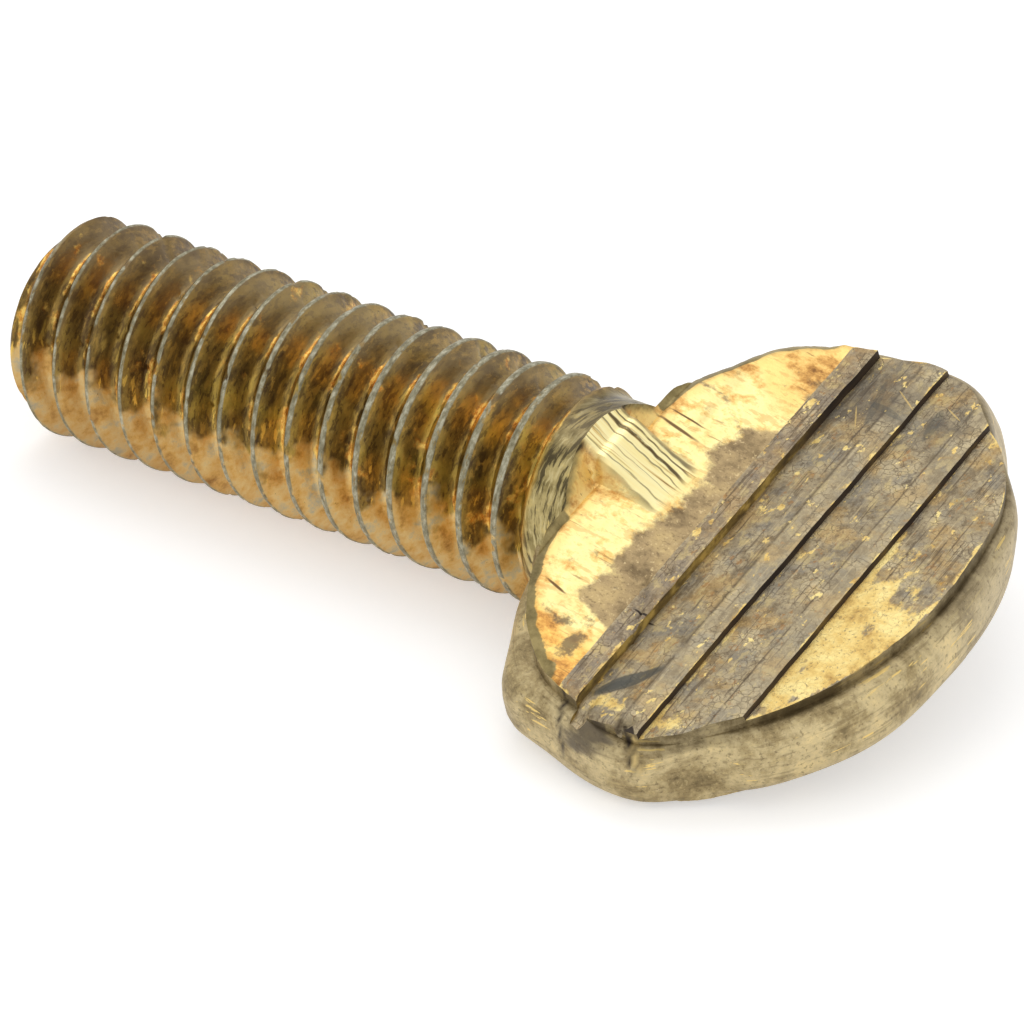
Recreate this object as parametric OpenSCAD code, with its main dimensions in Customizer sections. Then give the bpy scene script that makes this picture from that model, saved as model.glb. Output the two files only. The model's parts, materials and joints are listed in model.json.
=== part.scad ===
// Thumb screw, forged in one piece: threaded shank, plain neck and a flat spade head with ribbed faces.
// It lies as it comes to rest, on its thread and on the edge of one wing.
// The origin is on its axis where the thread ends; x runs along the axis towards the head, y across it.
// All sizes are in millimetres.

/* [Shank] */
// Outside diameter of the thread
thread_diameter = 7.94; // [4:0.01:12]
// Length from the tip to the end of the thread
thread_length = 21.2; // [10:0.1:60]
// Chamfer that starts the thread at the tip
tip_chamfer = 0.8; // [0.2:0.1:1.5]
// Diameter of the plain neck behind the thread
neck_diameter = 7.4; // [5:0.1:9]
// Length of the plain neck, up to its shoulder
neck_length = 1.6; // [0.5:0.1:6]
// Steepness of the shoulder that drops from the neck to the cheeks, in degrees
shoulder_angle = 66; // [45:1:80]

/* [Blade outline] */
// Distance from the end of the neck to the middle of the two wing discs
wing_reach = 7.2; // [6.5:0.1:8.5]
// Distance of each wing disc's middle from the screw's axis
wing_offset = 3.2; // [1.5:0.05:4.5]
// Radius of each wing disc, measured to the edge of the face
wing_radius = 6.75; // [5.5:0.05:8.5]
// Distance from the end of the neck to the free end of the face
blade_length = 13.35; // [11.5:0.05:16]
// Direction, seen from a wing disc's middle, in which the face's arc around the wing ends, in degrees
wing_arc_end = 79.5; // [70:0.5:90]
// Radius of the webs that join the neck to the wings
web_radius = 1.2; // [0.4:0.1:3]

/* [Blade section] */
// Thickness over the ribs of both faces
blade_thickness = 3.14; // [2.2:0.02:4]
// Angle at which the bare cheeks rise from the first rib towards the neck, in degrees
cheek_angle = 12; // [0:0.5:14]

/* [Rim] */
// How far the rim stands out beyond the edge of the face around the wings
rim_bulge = 0.7; // [0.2:0.05:1]
// How far the rim stands out beyond the middle of the free end
rim_bulge_end = 0.6; // [0.2:0.05:1]
// Direction, seen from a wing disc's middle, in which the rim's arc around the wing ends, in degrees
rim_arc_end = 90; // [80:0.5:95]
// Step from the face down to the rim
rim_step = 0.2; // [0.05:0.01:0.4]
// Rounding of the rim's two edges
rim_round = 0.55; // [0.3:0.05:1]

/* [Grip ribs] */
// Number of ribs on each face
rib_count = 3; // [1:1:3]
// Distance from the end of the neck to the steep side of the first rib
first_rib = 5.08; // [4.2:0.02:6.5]
// Distance from one rib to the next
rib_pitch = 2.67; // [1.6:0.01:3]
// Width of the flat land on top of each rib
rib_land = 0.82; // [0.2:0.02:1.2]
// Height of the steep side of each rib
rib_depth = 0.4; // [0.1:0.02:0.6]

/* [Boss] */
// Width of the raised boss that carries the neck into the blade
boss_width = 2.4; // [1:0.1:4]
// How far the boss lies to one side of the screw's axis
boss_shift = 0.4; // [0:0.05:1]
// How far the top of the neck runs on along the boss before its slope begins
boss_start = 0.15; // [0.05:0.05:0.6]
// Hollow radius of the boss's long slope
boss_hollow = 10.6; // [6:0.1:40]

/* [Hidden] */
$fn = 96;
brass = [0.68, 0.55, 0.30];
// how far shapes that join or cut each other reach past the place
overlap = 0.5;
thread_r = thread_diameter / 2;
neck_r = neck_diameter / 2;
half = blade_thickness / 2;
rim_half = half - rim_step;
// distances from the tip along the axis, which is how far along everything is drawn
neck_end = thread_length + neck_length;
wing_x = neck_end + wing_reach;
face_end = neck_end + blade_length;
rim_end = face_end + rim_bulge_end;
boss_end = neck_end + first_rib - rib_land;
// each rib as [foot of the ramp before it, start of its land, its steep side]
ribs = [
    for (i = [0 : rib_count - 1])
        let (edge = neck_end + first_rib + i * rib_pitch)
            [edge - rib_pitch, edge - rib_land, edge]
];
last_edge = ribs[rib_count - 1][2];
// slope of the ramp that rises from the last rib to the edge of the face
last_ramp = rib_depth / (face_end - last_edge);
// roll about the screw's axis at which the edge of a wing meets the ground beside the thread
wing_span = wing_offset + wing_radius;
rest_roll = asin(thread_r / norm([wing_span, half])) - atan(half / wing_span);

// height of a cheek over the middle plane, at a distance x from the tip
function cheek(x) = half + (boss_end - x) * tan(cheek_angle);

// one face's side profile from the neck to beyond the free end, as [x, height] points
function face_line() = [
    [0, cheek(0)],
    [boss_end, half],
    for (r = ribs) each [
        if (r[0] > boss_end) [r[0], half - rib_depth],
        [r[1], half],
        [r[2], half]
    ],
    [last_edge, half - rib_depth],
    [rim_end + 1, half + (rim_end + 1 - face_end) * last_ramp]
];

// closes an [x, height] line with its mirror image on the other face
function both_faces(line) = concat(
    line,
    [for (i = [len(line) - 1 : -1 : 0]) [line[i][0], -line[i][1]]]
);

// radius of the arc across the screw's axis that passes point p and lies farthest out at distance x
function end_radius(x, p) = let (gap = x - p[0]) (gap * gap + p[1] * p[1]) / (2 * gap);

module thumb_screw() {
    color(brass)
        translate([-thread_length, 0, 0]) rotate([rest_roll, 0, 0]) {
            shank();
            neck();
            blade();
            boss();
        }
}

// threaded shank, turned about the screw's axis
module shank() {
    lay() rotate_extrude()
        polygon([
            [0, 0],
            [thread_r - tip_chamfer, 0],
            [thread_r, tip_chamfer],
            [thread_r, thread_length],
            [0, thread_length]
        ]);
}

// plain neck, with the shoulder that drops to the cheeks on both faces
module neck() {
    top = neck_r + overlap;
    intersection() {
        lay() cylinder(h = boss_end, r = neck_r);
        across(neck_diameter + overlap)
            polygon(both_faces([
                [thread_length - overlap, top],
                [neck_end - overlap / tan(shoulder_angle), top],
                [neck_end + neck_r / tan(shoulder_angle), 0]
            ]));
    }
}

// flat head: face outline and rounded rim, both cut to the ribbed side profile
module blade() {
    intersection() {
        union() {
            face_block();
            rim();
            web();
            mirror([0, 1, 0]) web();
        }
        across(2 * (wing_span + rim_bulge + 1)) polygon(both_faces(face_line()));
    }
}

// straight-sided block with the outline of the face
module face_block() {
    plan(wing_radius, wing_arc_end, face_end, neck_r)
        translate([0, -neck_r]) square([$r, 2 * neck_r]);
}

// rounded rim that stands out all round the face
module rim() {
    plan(wing_radius + rim_bulge, rim_arc_end, rim_end, rim_half)
        rounded_edge($r, rim_half, rim_round);
}

// blade with an outline of two wing discs of radius r, whose arcs end in direction arc_end, and one arc
// along the free end; the child draws half the section of a disc of radius $r, thick to either side
module plan(r, arc_end, end, thick) {
    wing = [wing_x, wing_offset];
    end_r = end_radius(end, wing + r * [cos(arc_end), sin(arc_end)]);
    intersection() {
        union() {
            both_wings() translate(wing) rotate_extrude() let ($r = r) children();
            translate([wing_x - r, -wing_offset, -thick])
                cube([end - wing_x + r + overlap, 2 * wing_offset, 2 * thick]);
        }
        translate([end - end_r, 0]) rotate_extrude() let ($r = end_r) children();
    }
}

// draws a shape for the upper wing and its mirror image for the lower one
module both_wings() {
    children();
    mirror([0, 1, 0]) children();
}

// half the section of a disc of radius r, as thick as 2 * e, with its edges rounded by k
module rounded_edge(r, e, k) {
    translate([0, k - e]) square([r, 2 * (e - k)]);
    translate([0, -e]) square([r - k, 2 * e]);
    intersection() {
        for (side = [-1, 1]) translate([r - k, side * (e - k)]) circle(k);
        translate([0, -e]) square([r, 2 * e]);
    }
}

// turns a shape made along z so that it runs along x
module lay() rotate([90, 0, 90]) children();

// runs a side profile, drawn as [x, height], straight across the blade
module across(width)
    translate([0, width / 2, 0]) rotate([90, 0, 0]) linear_extrude(width) children();

// web that fills the corner between the neck and the upper wing with a hollow of web_radius
module web() {
    reach = wing_radius + web_radius;
    rise = neck_r + web_radius - wing_offset;
    hollow = [wing_x - sqrt(reach * reach - rise * rise), neck_r + web_radius];
    touch = hollow + web_radius / reach * ([wing_x, wing_offset] - hollow);
    translate([0, 0, -rim_half])
        linear_extrude(2 * rim_half)
            difference() {
                polygon([[hollow[0], 0], [hollow[0], neck_r], touch, [wing_x, wing_offset], [wing_x, 0]]);
                translate(hollow) circle(web_radius);
            }
}

// raised boss that runs from the top of the neck down to the first rib in one hollow slope,
// which dips under the cheek at its foot
module boss() {
    top = [neck_end + boss_start, neck_r];
    foot = [boss_end, half - rib_depth / 2];
    slope = foot - top;
    chord = norm(slope);
    lift = sqrt(boss_hollow * boss_hollow - chord * chord / 4);
    middle = (top + foot) / 2 + lift / chord * [-slope[1], slope[0]];
    intersection() {
        lay() cylinder(h = boss_end + 1, r = neck_r);
        translate([0, boss_shift, 0])
            across(boss_width)
                difference() {
                    translate([neck_end - overlap, -neck_r - overlap])
                        square([boss_end - neck_end + overlap, 2 * (neck_r + overlap)]);
                    for (face = [-1, 1])
                        translate([middle[0], face * middle[1]]) circle(boss_hollow, $fn = 240);
                }
    }
}

thumb_screw();
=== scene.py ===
# %% [markdown]
# # Brass thumb screw
# A thumb screw is a screw that fingers can turn. This one is a single piece of brass: a bar is turned and
# threaded at one end, and the other end is struck flat in a forging die, which leaves a spade-shaped head with
# ribs for grip. It has lain about for years, so its brown tarnish is dull in the hollows and rubbed to bright
# gold where fingers and other metal have touched it.
#
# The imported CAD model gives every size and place. This script builds a finer mesh of the same screw inside the
# same box, with a real helical thread, the marks of forging and use, and a finish for each kind of surface.

import json
import math

import bmesh
import bpy
import numpy as np
from mathutils import Matrix, Vector


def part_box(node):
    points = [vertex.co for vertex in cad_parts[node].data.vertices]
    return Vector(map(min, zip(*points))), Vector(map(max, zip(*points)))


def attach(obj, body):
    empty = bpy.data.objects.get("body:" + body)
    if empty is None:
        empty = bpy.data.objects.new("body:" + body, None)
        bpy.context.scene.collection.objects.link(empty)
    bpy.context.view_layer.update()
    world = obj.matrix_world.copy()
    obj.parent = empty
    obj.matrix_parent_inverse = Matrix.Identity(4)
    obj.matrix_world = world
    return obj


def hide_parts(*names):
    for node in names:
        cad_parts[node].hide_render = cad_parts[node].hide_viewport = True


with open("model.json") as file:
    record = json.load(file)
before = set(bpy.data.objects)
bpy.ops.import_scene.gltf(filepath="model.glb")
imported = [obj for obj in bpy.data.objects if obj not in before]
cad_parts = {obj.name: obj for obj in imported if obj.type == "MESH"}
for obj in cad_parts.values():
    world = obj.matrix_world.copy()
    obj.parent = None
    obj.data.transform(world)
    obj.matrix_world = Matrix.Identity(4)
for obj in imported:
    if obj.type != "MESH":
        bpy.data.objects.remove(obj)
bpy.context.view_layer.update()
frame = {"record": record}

# %% [markdown]
# ## Sizes
# The script thinks in millimetres along the screw: x is the distance from the tip, y runs across the flat head
# and z is square to it. Overall length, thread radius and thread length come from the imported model, and the
# rest are the sizes of the head that the CAD model was drawn with.

# %% Sizes in millimetres
MM = 0.001
low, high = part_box("thumb_screw")
thread_mount = frame["record"]["mounts"][0]["dims"]
THREAD_R = thread_mount["r_mm"]
THREAD_END = -low.x / MM
HEAD_END = (high.x - low.x) / MM
PITCH = 25.4 / 18
ROOT_DEPTH = 0.83
TIP_CHAMFER = 0.8
# the crest of the thread passes this place along the screw at this angle round it
FIRST_CREST, CREST_ANGLE = 2.342, math.radians(130.4)
NECK_R, NECK_LENGTH = 3.7, 1.6
NECK_END = THREAD_END + NECK_LENGTH
BAR_END = NECK_END + 2.0
SHOULDER, CHEEK_RISE = math.radians(66), math.radians(12)
WING_X, WING_Y, WING_R = NECK_END + 7.2, 3.2, 6.75
WING_ARC_END = math.radians(79.5)
RIM_BULGE, RIM_BULGE_END = 0.7, 0.6
FACE_END = HEAD_END - RIM_BULGE_END
HALF, RIM_HALF = 1.57, 1.37
FIRST_RIB, RIB_PITCH, RIB_LAND, RIB_DEPTH = 5.08, 2.67, 0.82, 0.4
RIB_EDGES = [NECK_END + FIRST_RIB + RIB_PITCH * i for i in range(3)]
CHEEK_FOOT = RIB_EDGES[0] - RIB_LAND
WING_SPAN = WING_Y + WING_R
REST_ROLL = math.asin(THREAD_R / math.hypot(WING_SPAN, HALF)) - math.atan(HALF / WING_SPAN)
print(f"thread {2 * THREAD_R:.2f} x {THREAD_END:.1f} mm, {HEAD_END:.1f} mm overall,",
      f"rolled {math.degrees(REST_ROLL):.1f} degrees")


# %% [markdown]
# ## Helpers for node trees
# Thread, finishes and background are all node trees. `add` makes a node and feeds its inputs, each with a
# number or with another node's output, so a tree reads like a list of steps. The other helpers build in the
# tree that their first linked feed belongs to.

# %% Node helpers
def add(tree, kind, feeds=None, **settings):
    """Adds a node; feeds maps an input's name or number to a value or to another node's output."""
    node = tree.nodes.new(kind)
    for name, value in settings.items():
        setattr(node, name, value)
    for key, feed in (feeds or {}).items():
        if isinstance(feed, bpy.types.NodeSocket):
            tree.links.new(feed, node.inputs[key])
        else:
            node.inputs[key].default_value = feed
    return node


def maths(operation, *feeds):
    """Adds one step of arithmetic and gives its result. It works in shaders and in geometry nodes."""
    tree = next(feed.id_data for feed in feeds if isinstance(feed, bpy.types.NodeSocket))
    return add(tree, "ShaderNodeMath", dict(enumerate(feeds)), operation=operation).outputs[0]


def ease(value, low_end, high_end, start=0.0, end=1.0):
    """Turns value from start to end, smoothly, as it goes from low_end to high_end."""
    feeds = {"Value": value, "From Min": low_end, "From Max": high_end, "To Min": start, "To Max": end}
    return add(value.id_data, "ShaderNodeMapRange", feeds, interpolation_type="SMOOTHSTEP").outputs[0]


print("node helpers ready")

# %% [markdown]
# ## The threaded shank
# A cut or rolled thread is one groove that winds round the bar, here 18 turns to the inch. It could be made
# with the Screw modifier, or by sweeping a V along a helix and cutting it out, but both leave ragged ends. A
# rule is simpler: every point of the shank lies at some distance along the screw and at some angle round it,
# and the two together say how deep the groove is there. So a flat grid is wrapped round the axis by Geometry
# Nodes, and each point's radius is worked out from the rule. The grid's rows climb with the helix, so that a
# row follows the crest all the way round. The radius falls to nothing at both ends, which closes the bar.

# %% The thread's node tree
thread_tree = bpy.data.node_groups.new("wind_thread", "GeometryNodeTree")
thread_sizes = {
    "Outside radius": THREAD_R, "Pitch": PITCH, "Crest at tip": 0.11, "Crest at head": 0.24,
    "Root depth": ROOT_DEPTH, "Tip radius": THREAD_R - TIP_CHAMFER, "Thread end": THREAD_END,
    "Neck radius": NECK_R, "Bar end": BAR_END, "First crest": FIRST_CREST, "Crest angle": CREST_ANGLE,
    "Nick depth": 0.1, "Wave depth": 0.035,
}
for name in ("Turns", "Rows per turn", "Columns"):
    thread_tree.interface.new_socket(name, in_out="INPUT", socket_type="NodeSocketInt")
for name in thread_sizes:
    thread_tree.interface.new_socket(name, in_out="INPUT", socket_type="NodeSocketFloat")
thread_tree.interface.new_socket("Material", in_out="INPUT", socket_type="NodeSocketMaterial")
thread_tree.interface.new_socket("Geometry", in_out="OUTPUT", socket_type="NodeSocketGeometry")
size = add(thread_tree, "NodeGroupInput").outputs
# turns of the grid that close the tip before the thread starts
TIP_TURNS = 2.5
grid = add(thread_tree, "GeometryNodeMeshGrid", {
    "Size X": 1.0, "Size Y": 1.0,
    "Vertices X": maths("ADD", size["Columns"], 1),
    "Vertices Y": maths("ADD", maths("MULTIPLY", size["Turns"], size["Rows per turn"]), 1),
})
flat = add(thread_tree, "ShaderNodeSeparateXYZ", {0: add(thread_tree, "GeometryNodeInputPosition").outputs[0]})
lap = maths("ADD", flat.outputs["X"], 0.5)
angle = maths("MULTIPLY", lap, math.tau)
climb = maths("ADD", flat.outputs["Y"], 0.5)
turn = maths("SUBTRACT", maths("MULTIPLY_ADD", climb, size["Turns"], lap), TIP_TURNS)
unrolled = maths("MULTIPLY", turn, size["Pitch"])
along = maths("MINIMUM", maths("MAXIMUM", unrolled, 0), size["Bar end"])
print("thread tree:", len(size) - 1, "named inputs")

# %% [markdown]
# The groove is a 60 degree V with a flat crest and a rounded root. The distance from the nearest crest is a
# saw wave of the place along the screw, less the share of a turn. Smooth Minimum rounds the root. The groove
# then fades out where the thread meets the neck, as it does where the die stops.

# %% The groove's depth
share = maths("DIVIDE", maths("SUBTRACT", angle, size["Crest angle"]), math.tau)
crests = maths("SUBTRACT", maths("DIVIDE", maths("SUBTRACT", along, size["First crest"]), size["Pitch"]), share)
from_crest = maths("ABSOLUTE", maths("MULTIPLY", maths("WRAP", crests, 0.5, -0.5), size["Pitch"]))
crest = ease(along, 0.0, size["Thread end"], size["Crest at tip"], size["Crest at head"])
flank = maths("MULTIPLY", maths("SUBTRACT", from_crest, maths("MULTIPLY", crest, 0.5)), math.sqrt(3))
groove = maths("SMOOTH_MIN", maths("SMOOTH_MAX", flank, 0.0, 0.1), size["Root depth"], 0.35)
past_end = maths("SUBTRACT", along, size["Thread end"])
groove = maths("MULTIPLY", groove, ease(past_end, 0.05, 0.8, 1.0, 0.0))


def wrapped(distance):
    """The point round the axis at that distance from it."""
    sides = [maths("MULTIPLY", maths(part, angle), distance) for part in ("COSINE", "SINE")]
    return add(thread_tree, "ShaderNodeCombineXYZ", {0: along, 1: sides[0], 2: sides[1]}).outputs[0]


on_crest = wrapped(size["Outside radius"])
nicks = add(thread_tree, "ShaderNodeTexNoise", {"Vector": on_crest, "Scale": 1.9, "Detail": 3.0})
waves = add(thread_tree, "ShaderNodeTexNoise", {"Vector": on_crest, "Scale": 0.45, "Detail": 1.0})
nick = maths("MULTIPLY", ease(nicks.outputs[0], 0.56, 0.74), size["Nick depth"])
wave = maths("MULTIPLY", waves.outputs[0], size["Wave depth"])
outside = ease(past_end, 0.3, 0.8, size["Outside radius"], size["Neck radius"])
radius = maths("SUBTRACT", maths("SUBTRACT", maths("SUBTRACT", outside, groove), nick), wave)
chamfer = maths("SMOOTH_MIN", maths("ADD", size["Tip radius"], along), radius, 0.15)
closing = maths("MULTIPLY",
                ease(unrolled, maths("MULTIPLY", size["Pitch"], -1.4), 0.0),
                ease(maths("SUBTRACT", unrolled, size["Bar end"]), 0.0, 0.1, 1.0, 0.0))
place = wrapped(maths("MULTIPLY", chamfer, closing))
wound = add(thread_tree, "GeometryNodeSetPosition", {"Geometry": grid.outputs["Mesh"], "Position": place})
welded = add(thread_tree, "GeometryNodeMergeByDistance", {"Geometry": wound.outputs[0], "Distance": 0.0008})
real = add(thread_tree, "GeometryNodeRealizeInstances", {"Geometry": welded.outputs[0]})
coated = add(thread_tree, "GeometryNodeSetMaterial", {"Geometry": real.outputs[0], "Material": size["Material"]})
add(thread_tree, "NodeGroupOutput", {0: coated.outputs[0]})
print("thread tree:", len(thread_tree.nodes), "nodes")

# %% [markdown]
# ## Finishes
# Each kind of surface has its own finish, all of one brass. The flanks of the thread are umber with painted gold
# lights and a bleached crest, the cheeks are rubbed nearly bare and brightened by a painted reflection, the ribs
# keep a grey-brown skin that has crazed, and the rim is dull khaki with long rubbed streaks. Painted image maps
# could do this too, but they would need unwrapping and would blur up close, so each finish is a procedural
# material. All of them read Object coordinates through one Mapping node that turns them into the script's own
# millimetres along the screw.

# %% Colour helpers
def shade(red, green, blue):
    """A colour as a screen shows it, from 0 to 255, as the linear colour that a shader takes."""
    return [((c / 255 + 0.055) / 1.055) ** 2.4 if c > 10 else c / 3294.6 for c in (red, green, blue)] + [1.0]


def empty_tree(owner):
    """The node tree of a new material or world, with nothing in it yet."""
    owner.use_nodes = True
    owner.node_tree.nodes.clear()
    return owner.node_tree


def start_finish(name):
    """A new material; gives it, its tree, and the place on the screw in millimetres."""
    finish = bpy.data.materials.new(name)
    tree = empty_tree(finish)
    placed = add(tree, "ShaderNodeMapping", {
        "Vector": add(tree, "ShaderNodeTexCoord").outputs["Object"],
        "Location": (THREAD_END, 0, 0), "Rotation": (-REST_ROLL, 0, 0), "Scale": (1 / MM,) * 3,
    })
    return finish, tree, placed.outputs[0]


def speckle(where, grain, detail=4.0, stretch=(1, 1, 1), roughness=0.6):
    """Noise whose patches are about grain millimetres wide, longer along the axes with a small stretch."""
    drawn = add(where.id_data, "ShaderNodeVectorMath", {0: where, 1: stretch}, operation="MULTIPLY").outputs[0]
    return add(where.id_data, "ShaderNodeTexNoise", {
        "Vector": drawn, "Scale": 1 / grain, "Detail": detail, "Roughness": roughness,
    }).outputs[0]


def tint(mask, under, over):
    """Colour under where mask is 0 and colour over where it is 1. A colour in brackets is a screen colour."""
    if isinstance(over, tuple):
        over = shade(*over)
    return add(mask.id_data, "ShaderNodeMix", {0: mask, 6: under, 7: over}, data_type="RGBA").outputs[2]


def lay(colour, mask, share, over):
    """Lays over on colour by that share of the mask."""
    return tint(maths("MULTIPLY", mask, share), colour, over)


def wash(colour, value, *coats):
    """Lays coats on colour. A coat is the value where it is bare, where it is full, its share and its colour."""
    for bare_at, full_at, share, over in coats:
        colour = tint(ease(value, bare_at, full_at, 0.0, share), colour, over)
    return colour


def scale_of(value, *stops):
    """A run of colours from stops, each a place and a screen colour."""
    ramp = add(value.id_data, "ShaderNodeValToRGB", {0: value})
    elements = ramp.color_ramp.elements
    while len(elements) < len(stops):
        elements.new(0.5)
    for element, (at, *colour) in zip(elements, stops):
        element.position, element.color = at, shade(*colour)
    return ramp.outputs[0]


print("colour helpers ready")

# %% [markdown]
# Masks and marks say where a colour lies, and every finish ends in the same shader.

# %% Mask and shader helpers
def ragged(mask, noise, amount=0.9, soft=0.1):
    """A stored mask whose soft edge is broken up by noise."""
    shifted = maths("MULTIPLY_ADD", maths("SUBTRACT", noise, 0.5), amount, mask)
    return ease(shifted, 0.5 - soft, 0.5 + soft)


def dash(where, at, turn, length, width, level=1.6):
    """A spindle-shaped mark on the top face, at that level: 1 in its middle, 0 from its edge outwards."""
    laid = add(where.id_data, "ShaderNodeMapping", {
        "Vector": where, "Location": (*at, level), "Rotation": (0, 0, math.radians(turn)),
        "Scale": (length / 2, width / 2, level),
    }, vector_type="TEXTURE").outputs[0]
    from_middle = add(where.id_data, "ShaderNodeVectorMath", {0: laid}, operation="LENGTH").outputs["Value"]
    return ease(from_middle, 1.0, 0.5)


def painted(tree, name):
    """A number stored on the mesh under that name."""
    return add(tree, "ShaderNodeAttribute", attribute_name=name).outputs["Fac"]


def end_finish(tree, colour, rough, metal, height, strength, distance):
    """Ends a finish: shader, with fine relief from height."""
    relief = add(tree, "ShaderNodeBump", {"Height": height, "Strength": strength, "Distance": distance * MM})
    shader = add(tree, "ShaderNodeBsdfPrincipled", {
        "Base Color": colour, "Roughness": rough, "Metallic": metal, "Normal": relief.outputs[0],
    })
    add(tree, "ShaderNodeOutputMaterial", {"Surface": shader.outputs[0]})


print("mask and shader helpers ready")

# %% [markdown]
# ### Thread
# Oil and dirt stay in a thread, so its flanks are umber, with streaks of olive gold along the groove, and bright
# gold painted highlights. Numbers stored on the mesh say how deep in the groove a point lies and how far round
# to the underside.

# %% Flanks of the thread
thread_brass, tree, where = start_finish("thread_brass")
depth, under = painted(tree, "groove"), painted(tree, "under")
streaks = speckle(where, 1.6, 6.0, (4.0, 1, 1), 0.62)
patches = speckle(where, 2.6, 2.0)
fine = speckle(where, 0.12, 4.0)
grit = speckle(where, 0.3, 4.0, (2.0, 1, 1), 0.7)
from_tip = add(tree, "ShaderNodeSeparateXYZ", {0: where}).outputs["X"]
# the few turns nearest the tip are browner
TIP_ZONE = (11.0, 3.0)
flank_colour = scale_of(streaks, (0.32, 78, 60, 32), (0.44, 114, 92, 46), (0.54, 142, 115, 55),
                        (0.70, 172, 143, 66))
fine_streaks = speckle(where, 0.5, 5.0, (5.0, 1, 1), 0.6)
olive = maths("MULTIPLY", ease(patches, 0.48, 0.58, 0.0, 0.8), ease(from_tip, *reversed(TIP_ZONE), 0.3, 1.0))
olive_colour = scale_of(streaks, (0.35, 108, 92, 38), (0.65, 194, 163, 72))
flank_colour = tint(olive, flank_colour, olive_colour)
flank_colour = wash(flank_colour, fine_streaks,
                    (0.53, 0.6, 0.6, (60, 42, 26)), (0.45, 0.39, 0.55, (186, 148, 70)))
flank_colour = wash(flank_colour, grit, (0.54, 0.7, 0.35, (66, 48, 28)), (0.42, 0.3, 0.35, (176, 150, 84)))
flank_colour = wash(flank_colour, from_tip, (*TIP_ZONE, 0.35, (84, 60, 38)))
# painted highlights: bright gold gleams on the flanks, fading out towards the top
painted_gleams = ease(speckle(where, 1.1, 5.0, (6.0, 1, 1), 0.6), 0.59, 0.64, 0.0, 0.85)
painted_gleams = maths("MULTIPLY", painted_gleams, ease(under, -0.7, 0.1))
flank_colour = tint(painted_gleams, flank_colour, (246, 204, 96))
# painted reflection: the top of the thread is greyer and paler
painted_top_reflection = maths("MULTIPLY", ease(under, -0.8, -0.99), ease(patches, 0.35, 0.6, 0.3, 0.7))
flank_colour = tint(painted_top_reflection, flank_colour, (142, 122, 88))
print("flanks:", len(tree.nodes), "nodes")

# %% [markdown]
# Painted orange glints stand for the light that the narrow flanks facing the tip catch, the side facing down is
# painted a lighter plain tan as a painted reflection, and the crests are bleached grey-green bands.

# %% Glow, underside and crests
glints = speckle(where, 1.3, 5.0, (1.5, 1, 1), 0.6)
painted_glint = maths("MULTIPLY", ragged(painted(tree, "glint"), glints, 3.0, 0.2), 0.9)
painted_glint_colour = scale_of(grit, (0.34, 150, 92, 34), (0.46, 214, 148, 60), (0.58, 250, 208, 108))
colour = tint(painted_glint, flank_colour, painted_glint_colour)
# painted reflection: the side facing down is a lighter plain tan
uneven = speckle(where, 2.2, 4.0, (1.6, 1, 1), 0.5)
underside_reflection = ease(maths("MULTIPLY_ADD", uneven, 1.6, under), 0.76, 0.94)
tan_colour = scale_of(speckle(where, 0.9, 6.0, roughness=0.65), (0.3, 158, 112, 52),
                      (0.44, 216, 172, 96), (0.56, 224, 194, 132), (0.68, 182, 177, 152))
tan_colour = wash(tan_colour, from_tip, (*TIP_ZONE, 0.25, (140, 100, 58)))
colour = tint(underside_reflection, colour, tan_colour)
chips = speckle(where, 0.16, 4.0, (1, 0.5, 0.5), 0.65)
band = maths("MULTIPLY", ease(depth, 0.09, 0.045), ease(grit, 0.34, 0.44, 0.25, 0.95))
crest_colour = scale_of(chips, (0.34, 112, 106, 82), (0.5, 148, 143, 118), (0.66, 192, 188, 164))
colour = tint(band, colour, crest_colour)
colour = wash(colour, fine, (0.68, 0.74, 0.7, (70, 46, 24)))
print("thread:", len(tree.nodes), "nodes")

# %% [markdown]
# The plain neck is part of the same mesh and so of the same finish. It is grey-green, with the slanting marks
# of the tool that turned it, and a bright ridge where the thread runs out.

# %% Neck
neck_colour = scale_of(speckle(where, 0.9, 5.0, (0.8, 1, 1)), (0.32, 100, 88, 52),
                       (0.44, 150, 134, 86), (0.58, 184, 166, 112), (0.72, 226, 198, 118))
slanted = add(tree, "ShaderNodeMapping", {"Vector": where, "Rotation": (0, 0.35, 0.25)}).outputs[0]
tool_marks = speckle(slanted, 0.3, 4.0, (2.4, 0.3, 0.3))
neck_colour = wash(neck_colour, tool_marks, (0.46, 0.38, 0.75, (206, 190, 138)), (0.51, 0.6, 0.85, (58, 50, 34)))
# painted shade: the top of the neck is darker grey-brown
neck_colour = wash(neck_colour, under, (-0.72, -0.95, 0.6, (100, 88, 66)))
colour = tint(painted(tree, "neck"), colour, neck_colour)
ridge = maths("MULTIPLY", painted(tree, "runout"), ease(uneven, 0.4, 0.55, 0.2, 1.0))
colour = tint(ridge, colour, (240, 190, 92))
rough = ease(depth, 0.1, 0.4, 0.5, 0.34)
relief = maths("ADD", maths("MULTIPLY", fine, 0.3), grit)
end_finish(tree, colour, rough, ease(depth, 0.08, 0.25, 0.55, 0.8), relief, 0.35, 0.04)
print("thread and neck finish:", len(tree.nodes), "nodes")
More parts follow.
